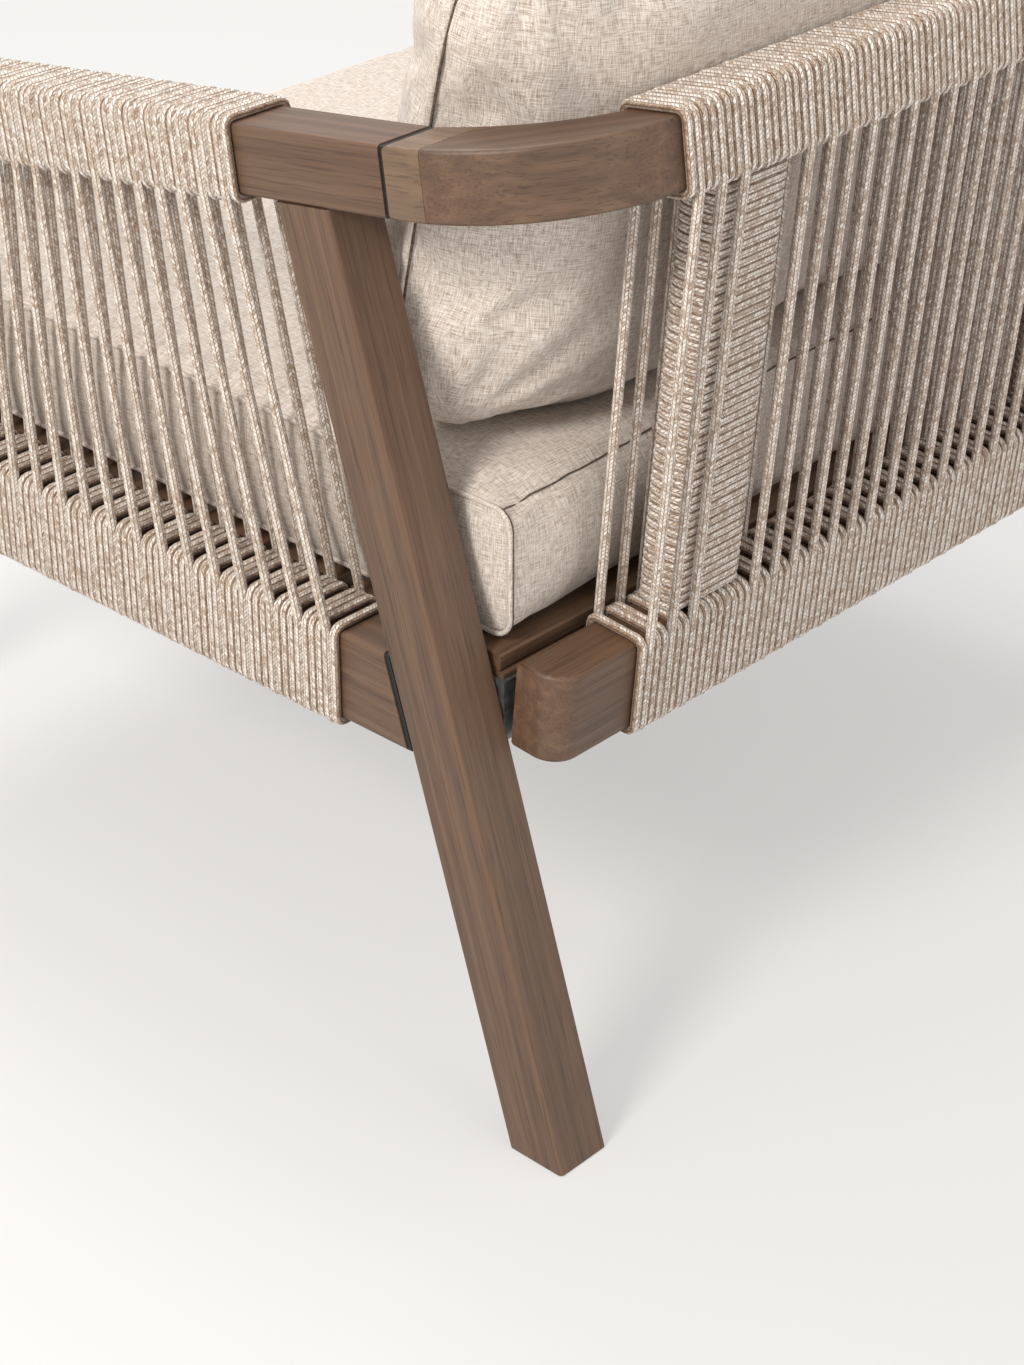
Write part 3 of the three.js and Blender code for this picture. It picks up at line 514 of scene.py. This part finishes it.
def back_runs():
    runs = []
    step = back_pitch / (TURNS_BETWEEN + 1)
    edge = weave_side - ROPE_WIDE / 2
    for i in range(strand_count):
        place = -STRAND_START + i * back_pitch
        clear_of_post = abs(abs(place) - post_x) > POST_ROPE_HALF
        if abs(place) > post_x + STRAND_DIAMETER or clear_of_post:
            runs.append(strand_loop(crest_rail, back_rail, place))
        else:
            over = [crest_rail.point(place, 0, -crest_rail.half_up)]
            over += crest_rail.corner(place, 1, -1, 1) + crest_rail.over(place)
            under = back_rail.under(place) + back_rail.corner(place, 1, 1, 1)
            under.append(back_rail.point(place, 0, back_rail.half_up))
            runs.append((over + free_run(over[-1], under[0]) + under, leftward, False, ROPE, ROPE))
        for k in range(TURNS_BETWEEN):
            turn = place + (k + 1) * step
            if turn < edge:
                runs.append(crest_rail.wrap(turn + rng.normal(0, HAND_WOUND)))
                runs.append(back_rail.wrap(turn + rng.normal(0, HAND_WOUND)))
    runs.append(crest_rail.wrap(-STRAND_START - step))
    runs.append(back_rail.wrap(-STRAND_START - step))
    return runs


rope_piece("back_rope_weave", back_runs(), ["back_rope"])

# ---- Rope winding of the back posts ----
# Two flat posts join the crest to the lower back rail. Each is wound from end to end with level turns
# of the same rope.

POST_WIDTH = 60 * mm
POST_DEPTH = 22 * mm
PULLED_TIGHT = 0.88   # spacing of the turns as a share of the rope's width


def post_runs():
    foot = np.array([post_x, back_middle[1], back_middle[2]]) + back_up * BACK_RAIL_HEIGHT / 2
    head = np.array([post_x, crest_middle[1], crest_middle[2]]) - slope_up * TIMBER / 2
    up = (head - foot) / np.linalg.norm(head - foot)
    out = np.cross(up, -across)
    post = Rail(foot, up, across, out, POST_WIDTH / 2, POST_DEPTH / 2)
    length = float(np.linalg.norm(head - foot))
    first = ROPE_THICK * 1.6
    wound = length - 2 * first
    count = int(wound / (ROPE_WIDE * PULLED_TIGHT)) + 1
    return [post.wrap(first + k * wound / (count - 1) + rng.normal(0, 0.2 * mm))
            for k in range(count)]


post_left = post_runs()
post_right = [(np.asarray(points)[::-1] * mirror, axis, closed, wide, thick)
              for points, axis, closed, wide, thick in post_left]
rope_piece("back_post_winding_left", post_left, ["back_post_rope_left"])
rope_piece("back_post_winding_right", post_right, ["back_post_rope_right"])

# ---- Cushion cloth ----
# A plain weave of slubby linen-look yarn, cream crossed with beige. The thread spacing is drawn at
# three quarters of a millimetre, a little coarser than life, so that it shows.

THREAD = 0.75   # mm between threads
SLUB = 11.0     # mm that a thick place in a thread lasts


# Plain-woven slub yarn: long threads of uneven tone crossing both ways, over a fine raised weave.
def slub_linen():
    material, tree = new_material("slub_linen_weave")
    mapped = add_node(tree, "ShaderNodeUVMap", uv_map="cloth").outputs[0]
    in_mm = add_node(tree, "ShaderNodeVectorMath", {0: mapped}, operation="SCALE")
    in_mm.inputs["Scale"].default_value = 1000.0
    threads = []
    for scale in ((1 / THREAD, 1 / SLUB, 1.0), (1 / SLUB, 1 / THREAD, 1.0)):
        run = add_node(tree, "ShaderNodeVectorMath", {0: in_mm.outputs[0]}, operation="MULTIPLY")
        run.inputs[1].default_value = scale
        threads.append(add_node(tree, "ShaderNodeTexNoise", {0: run.outputs[0]}, in_Scale=1.0,
                                in_Detail=3.0, in_Roughness=0.75))
    crossed = add_node(tree, "ShaderNodeMix",
                       {2: threads[0].outputs["Fac"], 3: threads[1].outputs["Fac"]})
    crossed.inputs[0].default_value = 0.5
    colour = add_node(tree, "ShaderNodeValToRGB", {0: crossed.outputs[0]}, stops=[
        (0.38, "#927f6e"), (0.455, "#b9a99b"), (0.53, "#d4c9be"), (0.62, "#e8e1d9")]).outputs[0]
    parts = add_node(tree, "ShaderNodeSeparateXYZ", {0: in_mm.outputs[0]})
    waves = []
    for socket in (parts.outputs[0], parts.outputs[1]):
        swing = add_node(tree, "ShaderNodeMath", {0: socket}, operation="MULTIPLY")
        swing.inputs[1].default_value = math.pi / THREAD
        waves.append(add_node(tree, "ShaderNodeMath", {0: swing.outputs[0]}, operation="SINE"))
    weave = add_node(tree, "ShaderNodeMath", {0: waves[0].outputs[0], 1: waves[1].outputs[0]},
                     operation="MULTIPLY")
    height = add_node(tree, "ShaderNodeMath", {0: weave.outputs[0], 2: crossed.outputs[0]},
                      operation="MULTIPLY_ADD")
    height.inputs[1].default_value = 0.35
    relief = add_node(tree, "ShaderNodeBump", {"Height": height.outputs[0]}, in_Strength=0.5,
                      in_Distance=0.0005)
    shader = add_node(tree, "ShaderNodeBsdfPrincipled",
                      {"Base Color": colour, "Normal": relief.outputs[0]}, in_Roughness=0.9)
    shader.inputs["Sheen Weight"].default_value = 0.2
    finish_material(tree, shader)
    return material


linen = slub_linen()


def only(obj):
    bpy.ops.object.select_all(action="DESELECT")
    obj.select_set(True)
    bpy.context.view_layer.objects.active = obj


def lay_cloth_map(obj):
    only(obj)
    bpy.ops.object.mode_set(mode="EDIT")
    bpy.ops.mesh.select_all(action="SELECT")
    bpy.ops.uv.cube_project(cube_size=1.0)
    bpy.ops.object.mode_set(mode="OBJECT")
    obj.data.uv_layers.active.name = "cloth"


def stuff(obj, pressure, slack, most, pins):
    # blows the cover up like a filled cushion, then holds each point within most of where it began
    only(obj)
    start = np.array([v.co[:] for v in obj.data.vertices])
    group = obj.vertex_groups.new(name="seams")
    group.add(pins, 1.0, "REPLACE")
    cloth = obj.modifiers.new("cloth", "CLOTH")
    cloth.settings.quality = 6
    cloth.settings.mass = 0.3
    cloth.settings.tension_stiffness = 12
    cloth.settings.compression_stiffness = 12
    cloth.settings.shear_stiffness = 5
    cloth.settings.bending_stiffness = 0.4
    cloth.settings.use_pressure = True
    cloth.settings.uniform_pressure_force = pressure
    cloth.settings.shrink_min = -slack
    cloth.settings.vertex_group_mass = "seams"
    cloth.settings.effector_weights.gravity = 0
    cloth.collision_settings.use_collision = False
    cloth.point_cache.frame_start = 1
    cloth.point_cache.frame_end = 20
    for step in range(1, 21):
        bpy.context.scene.frame_set(step)
    bpy.ops.object.modifier_apply(modifier="cloth")
    bpy.context.scene.frame_set(1)
    end = np.array([v.co[:] for v in obj.data.vertices])
    moved = end - start
    length = np.linalg.norm(moved, axis=1)
    keep = np.minimum(1, most / np.maximum(length, 1e-9))
    obj.data.vertices.foreach_set("co", (start + moved * keep[:, None]).ravel())
    obj.data.update()


# Painted seam shadow: a dark brown tube, its tone broken by a fine twisted-looking noise, stands in for
# the shade in the ditch beside a seam.
seam_shadow_finish, seam_shadow_tree = new_material("painted_seam_shadow")
seam_place = add_node(seam_shadow_tree, "ShaderNodeTexCoord").outputs["Object"]
seam_shadow_noise = add_node(seam_shadow_tree, "ShaderNodeTexNoise", {0: seam_place}, in_Scale=400.0,
                      in_Detail=2.0)
seam_shadow_colour = add_node(seam_shadow_tree, "ShaderNodeValToRGB", {0: seam_shadow_noise.outputs["Fac"]}, stops=[
    (0.35, "#3d3128"), (0.65, "#6d5a4a")]).outputs[0]
finish_material(seam_shadow_tree, add_node(seam_shadow_tree, "ShaderNodeBsdfPrincipled",
                                      {"Base Color": seam_shadow_colour}, in_Roughness=0.9))


def seam_tube(name, path, closed, radius, body, finish):
    # a welt of the same cloth, or the dark tube of painted seam shadow beside it
    curve = bpy.data.curves.new(name, "CURVE")
    curve.dimensions = "3D"
    spline = curve.splines.new("POLY")
    spline.points.add(len(path) - 1)
    for point, place in zip(spline.points, path):
        point.co = (*place, 1)
    spline.use_cyclic_u = closed
    curve.bevel_depth = radius
    curve.bevel_resolution = 3
    curve.use_fill_caps = True
    piece = bpy.data.objects.new(name, curve)
    bpy.context.scene.collection.objects.link(piece)
    only(piece)
    bpy.ops.object.convert(target="MESH")
    piece.data.materials.append(finish)
    lay_cloth_map(piece)
    piece.data.shade_smooth()
    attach(piece, body)
    return piece


# ---- Seat cushion ----
# A foam block in a sewn cover with end panels at both sides. A welt follows each end panel's edge, with
# a dark tube of painted seam shadow beside it in the ditch, and a line of the same painted shadow marks
# the plain seam along the top edge of the rear.

CELL = 12 * mm
SEAT_EDGE = 14 * mm
seat_low, seat_high = (Vector(v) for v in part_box("seat_cushion"))
seat_middle = (seat_low + seat_high) / 2
seat_size = seat_high - seat_low
bpy.ops.object.select_all(action="DESELECT")
bpy.ops.mesh.primitive_cube_add(size=1, location=seat_middle)
seat = bpy.context.object
seat.name = "seat_cushion_cover"
SWELL = Vector((10 * mm, 8 * mm, 10 * mm))   # room left for the stuffing to push the cover out
seat.scale = seat_size - SWELL
bpy.ops.object.transform_apply(location=True, rotation=True, scale=True)
mesh = bmesh.new()
mesh.from_mesh(seat.data)
long_edges = [e for e in mesh.edges if abs((e.verts[0].co - e.verts[1].co).x) > 0.1]
bmesh.ops.bevel(mesh, geom=long_edges, offset=SEAT_EDGE, segments=4, affect="EDGES", profile=0.5)
for axis in range(3):
    normal = Vector((axis == 0, axis == 1, axis == 2))
    count = max(2, round(seat_size[axis] / CELL))
    for k in range(1, count):
        cut = seat_low.copy()
        cut[axis] += seat_size[axis] * k / count
        bmesh.ops.bisect_plane(mesh, geom=mesh.verts[:] + mesh.edges[:] + mesh.faces[:],
                               plane_co=cut, plane_no=normal, dist=1e-6)
bmesh.ops.remove_doubles(mesh, verts=mesh.verts, dist=1 * mm)
bmesh.ops.recalc_face_normals(mesh, faces=mesh.faces)
mesh.to_mesh(seat.data)
mesh.free()
half_x, half_y, half_z = (seat_size - SWELL) / 2
rim = []
for v in seat.data.vertices:
    off = v.co - seat_middle
    on_end = abs(abs(off.x) - half_x) < 0.5 * mm
    at_edge = abs(off.y) > half_y - 0.5 * mm or abs(off.z) > half_z - 0.5 * mm
    corner = abs(off.y) > half_y - SEAT_EDGE and abs(off.z) > half_z - SEAT_EDGE
    if corner and on_end:
        from_centre = math.hypot(abs(off.y) - half_y + SEAT_EDGE, abs(off.z) - half_z + SEAT_EDGE)
        at_edge = from_centre > SEAT_EDGE - 1 * mm
    if on_end and at_edge:
        rim.append(v.index)
SEAM_ANGLE = math.radians(67.5)   # how far up the rear's rounded edge its seam lies
rear_seam = []
for v in seat.data.vertices:
    off = v.co - seat_middle
    angle = math.atan2(off.z - half_z + SEAT_EDGE, off.y - half_y + SEAT_EDGE)
    rounded = min(off.y - half_y, off.z - half_z) > 0.1 * mm - SEAT_EDGE
    if rounded and abs(angle - SEAM_ANGLE) < 0.05:
        rear_seam.append(v.index)
rear_seam.sort(key=lambda i: seat.data.vertices[i].co.x)
stuff(seat, 4.0, 0.012, 9 * mm, rim)
rear_path = [seat.data.vertices[i].co + Vector((0, 0.1, 0.3)) * mm for i in rear_seam]
lay_cloth_map(seat)
bpy.ops.object.modifier_add(type="SUBSURF")
seat.modifiers[-1].levels = 1
seat.modifiers[-1].render_levels = 1
bpy.ops.object.modifier_apply(modifier=seat.modifiers[-1].name)
seat.data.shade_smooth()
seat.data.materials.clear()
seat.data.materials.append(linen)
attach(seat, "seat_cushion")
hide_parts("seat_cushion")
# Painted shade: a dark tube along the rear's seam stands in for its shadow line.
seam_tube("seat_cushion_rear_seam_shadow", rear_path, False, 0.6 * mm, "seat_cushion", seam_shadow_finish)
for side in (1, -1):
    outline = []
    for sy, sz, first in ((1, 1, 0), (-1, 1, 1), (-1, -1, 2), (1, -1, 3)):
        for k in range(7):
            a = math.pi / 2 * (first + k / 6)
            outline.append(seat_middle + Vector((
                side * half_x,
                sy * (half_y - SEAT_EDGE) + SEAT_EDGE * math.cos(a),
                sz * (half_z - SEAT_EDGE) + SEAT_EDGE * math.sin(a))))
    label = "left" if side > 0 else "right"
    seam_tube("seat_cushion_welt_" + label, outline, True, 1.8 * mm, "seat_cushion", linen)
    # Painted shade: a dark tube in the ditch beside each welt stands in for the seam's shadow.
    ditch = Vector((-side * 2.4 * mm, 0, 0))
    inside = [p + ditch + (p - seat_middle).normalized() * 1.2 * mm for p in outline]
    seam_tube("seat_cushion_seam_shadow_" + label, inside, True, 0.9 * mm, "seat_cushion", seam_shadow_finish)

# ---- Back cushion ----
# A plump loose pillow of two cloth panels, filled with fibre and joined by a narrow welt with a dark
# tube of painted seam shadow behind it. It leans on the woven back and its lower edge sags onto the seat
# cushion.

pillow_low, pillow_high = (Vector(v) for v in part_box("back_cushion"))
PILLOW_HALF_WIDTH = (pillow_high.x - pillow_low.x) / 2
PILLOW_HALF_HEIGHT = 206 * mm
PILLOW_HALF_DEPTH = 92 * mm
PILLOW_LEAN = math.radians(12.2)
PILLOW_PRESS = 20 * mm
PILLOW_FOOT_Y = 205 * mm
OUTLINE_POWER = 5.0
SECTION_POWER = 2.4
bpy.ops.object.select_all(action="DESELECT")
bpy.ops.mesh.primitive_cube_add(size=2)
pillow = bpy.context.object
pillow.name = "back_cushion_cover"
pillow.scale = (PILLOW_HALF_WIDTH, PILLOW_HALF_DEPTH, PILLOW_HALF_HEIGHT)
bpy.ops.object.transform_apply(location=True, rotation=True, scale=True)
bpy.ops.object.mode_set(mode="EDIT")
bpy.ops.mesh.select_all(action="SELECT")
bpy.ops.mesh.subdivide(number_cuts=47)
bpy.ops.object.mode_set(mode="OBJECT")
points = np.array([v.co[:] for v in pillow.data.vertices])
pillow_halves = np.array([PILLOW_HALF_WIDTH, PILLOW_HALF_DEPTH, PILLOW_HALF_HEIGHT])
share = np.abs(points) / pillow_halves
outline = (share[:, 0] ** OUTLINE_POWER + share[:, 2] ** OUTLINE_POWER) ** (1 / OUTLINE_POWER)
size = (outline ** SECTION_POWER + share[:, 1] ** SECTION_POWER) ** (1 / SECTION_POWER)
points /= size[:, None]
pillow.data.vertices.foreach_set("co", points.ravel())
pillow.data.update()
seam_order = [i for i in range(len(points)) if abs(points[i, 1]) < 1e-6]
seam_order.sort(key=lambda i: math.atan2(points[i, 2] / PILLOW_HALF_HEIGHT,
                                         points[i, 0] / PILLOW_HALF_WIDTH))
stuff(pillow, 2.0, 0.02, 12 * mm, seam_order)
lay_cloth_map(pillow)
points = np.array([v.co[:] for v in pillow.data.vertices])
share = np.abs(points) / pillow_halves
outline = (share[:, 0] ** OUTLINE_POWER + share[:, 2] ** OUTLINE_POWER) ** (1 / OUTLINE_POWER)
from_seam = (1 - np.clip(outline, 0, 1)) * PILLOW_HALF_HEIGHT
along_seam = np.arctan2(points[:, 2], points[:, 0]) * 300 * mm
# The seam gathers the cloth in small puckers, and each corner in folds that fan out from it
gathers = np.cos(along_seam / (7.5 * mm)) * (from_seam > 2 * mm)
pucker = 1.6 * mm * np.exp(-from_seam / (26 * mm)) * gathers
for corner_x in (1, -1):
    for corner_z in (1, -1):
        dx = points[:, 0] - corner_x * (PILLOW_HALF_WIDTH - 28 * mm)
        dz = points[:, 2] - corner_z * (PILLOW_HALF_HEIGHT - 40 * mm)
        reach = np.hypot(dx, dz)
        fold = np.cos(13 * np.arctan2(dz, dx) + 1.3 * corner_x + 2.1 * corner_z)
        pucker += 4.2 * mm * np.exp(-reach / (105 * mm)) * np.minimum(1, reach / (40 * mm)) * fold
depth_share = np.sign(points[:, 1]) * np.minimum(1, np.abs(points[:, 1]) / (40 * mm))
points[:, 1] += pucker * depth_share
turn = np.array(Matrix.Rotation(-PILLOW_LEAN, 3, "X"))
points[:, 2] += PILLOW_HALF_HEIGHT - PILLOW_PRESS
rest_z = seat_high.z + 8 * mm
points = points @ turn.T + np.array([0, PILLOW_FOOT_Y, rest_z])


def panel_y(z):
    # the woven back's inner face, less a little for the rope
    low = back_middle - back_out * (BACK_RAIL_THICKNESS / 2 + ROPE)
    high = crest_middle - rearward * (CREST_DEPTH / 2 + ROPE)
    share_up = (z - low[2]) / (high[2] - low[2])
    return low[1] + (high[1] - low[1]) * share_up - 3 * mm


points[:, 1] = np.minimum(points[:, 1], panel_y(points[:, 2]))
points[:, 2] = np.maximum(points[:, 2], rest_z)
pillow.data.vertices.foreach_set("co", points.ravel())
pillow.data.update()
seam_path = [Vector(points[i]) for i in seam_order]
only(pillow)
bpy.ops.object.modifier_add(type="SUBSURF")
pillow.modifiers[-1].levels = 1
pillow.modifiers[-1].render_levels = 1
bpy.ops.object.modifier_apply(modifier=pillow.modifiers[-1].name)
pillow.data.shade_smooth()
pillow.data.materials.append(linen)
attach(pillow, "back_cushion")
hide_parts("back_cushion")
seam_tube("back_cushion_welt", seam_path, True, 3.0 * mm, "back_cushion", linen)
# Painted shade: a dark tube behind the welt stands in for the seam's shadow line.
seam_tube("back_cushion_seam_shadow", [p + Vector((0, 3.2 * mm, 0)) for p in seam_path], True, 1.0 * mm,
          "back_cushion", seam_shadow_finish)

# ---- Floor, light and camera ----
# A pale seamless studio floor under large soft lights, seen from behind the sitter's left arm.

bpy.ops.object.select_all(action="DESELECT")
bpy.ops.mesh.primitive_plane_add(size=40, location=(0, 0, 0))
floor = bpy.context.object
floor.name = "studio_floor"
material, tree = new_material("backlit_white_floor")
shader = add_node(tree, "ShaderNodeBsdfPrincipled", in_Roughness=0.8)
shader.inputs["Base Color"].default_value = linear("#a09f9e")
shader.inputs["Emission Color"].default_value = linear("#fbfaf8")
shader.inputs["Emission Strength"].default_value = 0.46
shader.inputs["Specular IOR Level"].default_value = 0.1
finish_material(tree, shader)
floor.data.materials.append(material)

world = bpy.data.worlds.new("studio_air")
world.use_nodes = True
world.node_tree.nodes["Background"].inputs[0].default_value = linear("#fcfbfa")
world.node_tree.nodes["Background"].inputs[1].default_value = 0.78
bpy.context.scene.world = world


def softbox(name, place, target, size, power, colour="#ffffff"):
    data = bpy.data.lights.new(name, "AREA")
    data.shape = "DISK"
    data.size = size
    data.energy = power
    data.color = linear(colour)[:3]
    lamp = bpy.data.objects.new(name, data)
    lamp.location = place
    lamp.rotation_euler = (Vector(target) - Vector(place)).to_track_quat("-Z", "Y").to_euler()
    bpy.context.scene.collection.objects.link(lamp)


softbox("key_softbox", (3.2, 0.5, 2.7), (0, 0, 0.4), 1.1, 107, "#fffcf8")
softbox("front_softbox", (-0.5, -1.5, 3.1), (0, 0, 0.4), 1.4, 50)
softbox("fill_softbox", (0.3, 3.4, 1.6), (0, 0, 0.4), 2.2, 21)

camera_data = bpy.data.cameras.new("camera")
camera_data.sensor_fit = "VERTICAL"
camera_data.sensor_height = 36.0
camera_data.lens = 77.96
camera_data.clip_end = 100
camera = bpy.data.objects.new("camera", camera_data)
camera.location = (1.5375, 1.4336, 1.2735)
sight = Vector((-0.6316, -0.5878, -0.5055))
camera.rotation_euler = sight.to_track_quat("-Z", "Y").to_euler()
bpy.context.scene.collection.objects.link(camera)
bpy.context.scene.camera = camera
bpy.context.scene.view_settings.view_transform = "Standard"
